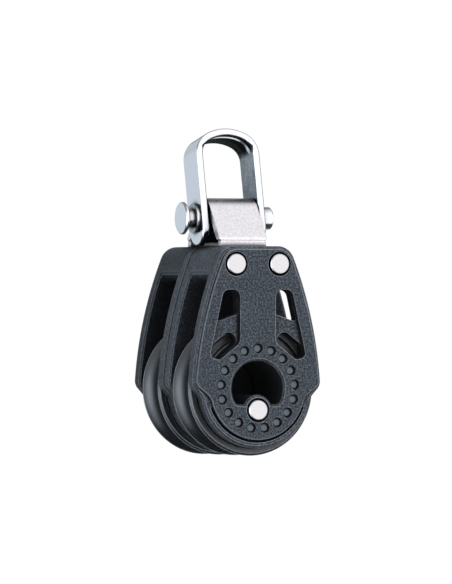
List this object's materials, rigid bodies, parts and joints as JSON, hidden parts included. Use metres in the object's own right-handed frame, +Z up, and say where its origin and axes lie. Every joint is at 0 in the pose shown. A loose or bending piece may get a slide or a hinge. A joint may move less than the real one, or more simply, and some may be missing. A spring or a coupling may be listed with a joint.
{
  "type": "double sailing block",
  "caption": "Double sheave block with moulded black cheeks, ball races and a bent strip shackle that swings on a pin in a stainless head strap.",
  "frame": {"origin": "centre of the shackle's bow, where the block hangs", "axes": "+Z up, +X along the shackle pin away from its disc head, -Y towards the front cheek"},
  "size_m": [0.03, 0.0349, 0.0711],
  "materials": {
    "polished_stainless": "polished",
    "turned_stainless": "turned",
    "sheet_stainless": "satin",
    "rivet_stainless": "satin",
    "moulded_nylon": "fine grain",
    "sheave_acetal": "smooth",
    "ball_plastic": "gloss"
  },
  "bodies": {
    "shackle": {"shackle": "polished_stainless", "shackle_pin": "turned_stainless"},
    "block": {"head_strap": "sheet_stainless", "front_cheek": "moulded_nylon", "rear_cheek": "moulded_nylon", "centre_plate_front": "moulded_nylon", "centre_plate_rear": "moulded_nylon", "head_rivet_left": "rivet_stainless", "head_rivet_right": "rivet_stainless", "hub_rivet": "rivet_stainless"},
    "front_sheave": {"front_sheave": "sheave_acetal"},
    "rear_sheave": {"rear_sheave": "sheave_acetal"},
    "front_balls": {"front_ball_01": "ball_plastic", "front_ball_02": "ball_plastic", "front_ball_03": "ball_plastic", "front_ball_04": "ball_plastic", "front_ball_05": "ball_plastic", "front_ball_06": "ball_plastic", "front_ball_07": "ball_plastic", "front_ball_08": "ball_plastic", "front_ball_09": "ball_plastic", "front_ball_10": "ball_plastic", "front_ball_11": "ball_plastic", "front_ball_12": "ball_plastic", "front_ball_13": "ball_plastic", "front_ball_14": "ball_plastic", "front_ball_15": "ball_plastic", "front_ball_16": "ball_plastic", "front_ball_17": "ball_plastic"},
    "rear_balls": {"rear_ball_01": "ball_plastic", "rear_ball_02": "ball_plastic", "rear_ball_03": "ball_plastic", "rear_ball_04": "ball_plastic", "rear_ball_05": "ball_plastic", "rear_ball_06": "ball_plastic", "rear_ball_07": "ball_plastic", "rear_ball_08": "ball_plastic", "rear_ball_09": "ball_plastic", "rear_ball_10": "ball_plastic", "rear_ball_11": "ball_plastic", "rear_ball_12": "ball_plastic", "rear_ball_13": "ball_plastic", "rear_ball_14": "ball_plastic", "rear_ball_15": "ball_plastic", "rear_ball_16": "ball_plastic", "rear_ball_17": "ball_plastic"}
  },
  "joints": [
    {"name": "shackle_swing", "type": "hinge", "parent": "shackle", "child": "block", "pos_m": [0, -0.00266, -0.01152], "axis": [1, 0, 0], "range_deg": [-108, 82]},
    {"name": "front_sheave_turn", "type": "hinge", "parent": "block", "child": "front_sheave", "pos_m": [0, -0.00266, -0.04843], "axis": [0, 1, 0], "continuous": true},
    {"name": "rear_sheave_turn", "type": "hinge", "parent": "block", "child": "rear_sheave", "pos_m": [0, -0.00266, -0.04843], "axis": [0, 1, 0], "continuous": true},
    {"name": "front_balls_turn", "type": "hinge", "parent": "block", "child": "front_balls", "pos_m": [0, -0.00266, -0.04843], "axis": [0, 1, 0], "continuous": true},
    {"name": "rear_balls_turn", "type": "hinge", "parent": "block", "child": "rear_balls", "pos_m": [0, -0.00266, -0.04843], "axis": [0, 1, 0], "continuous": true}
  ],
  "couplings": [
    {"joint": "front_balls_turn", "follows": "front_sheave_turn", "ratio": 0.5868},
    {"joint": "rear_balls_turn", "follows": "rear_sheave_turn", "ratio": 0.5868}
  ]
}
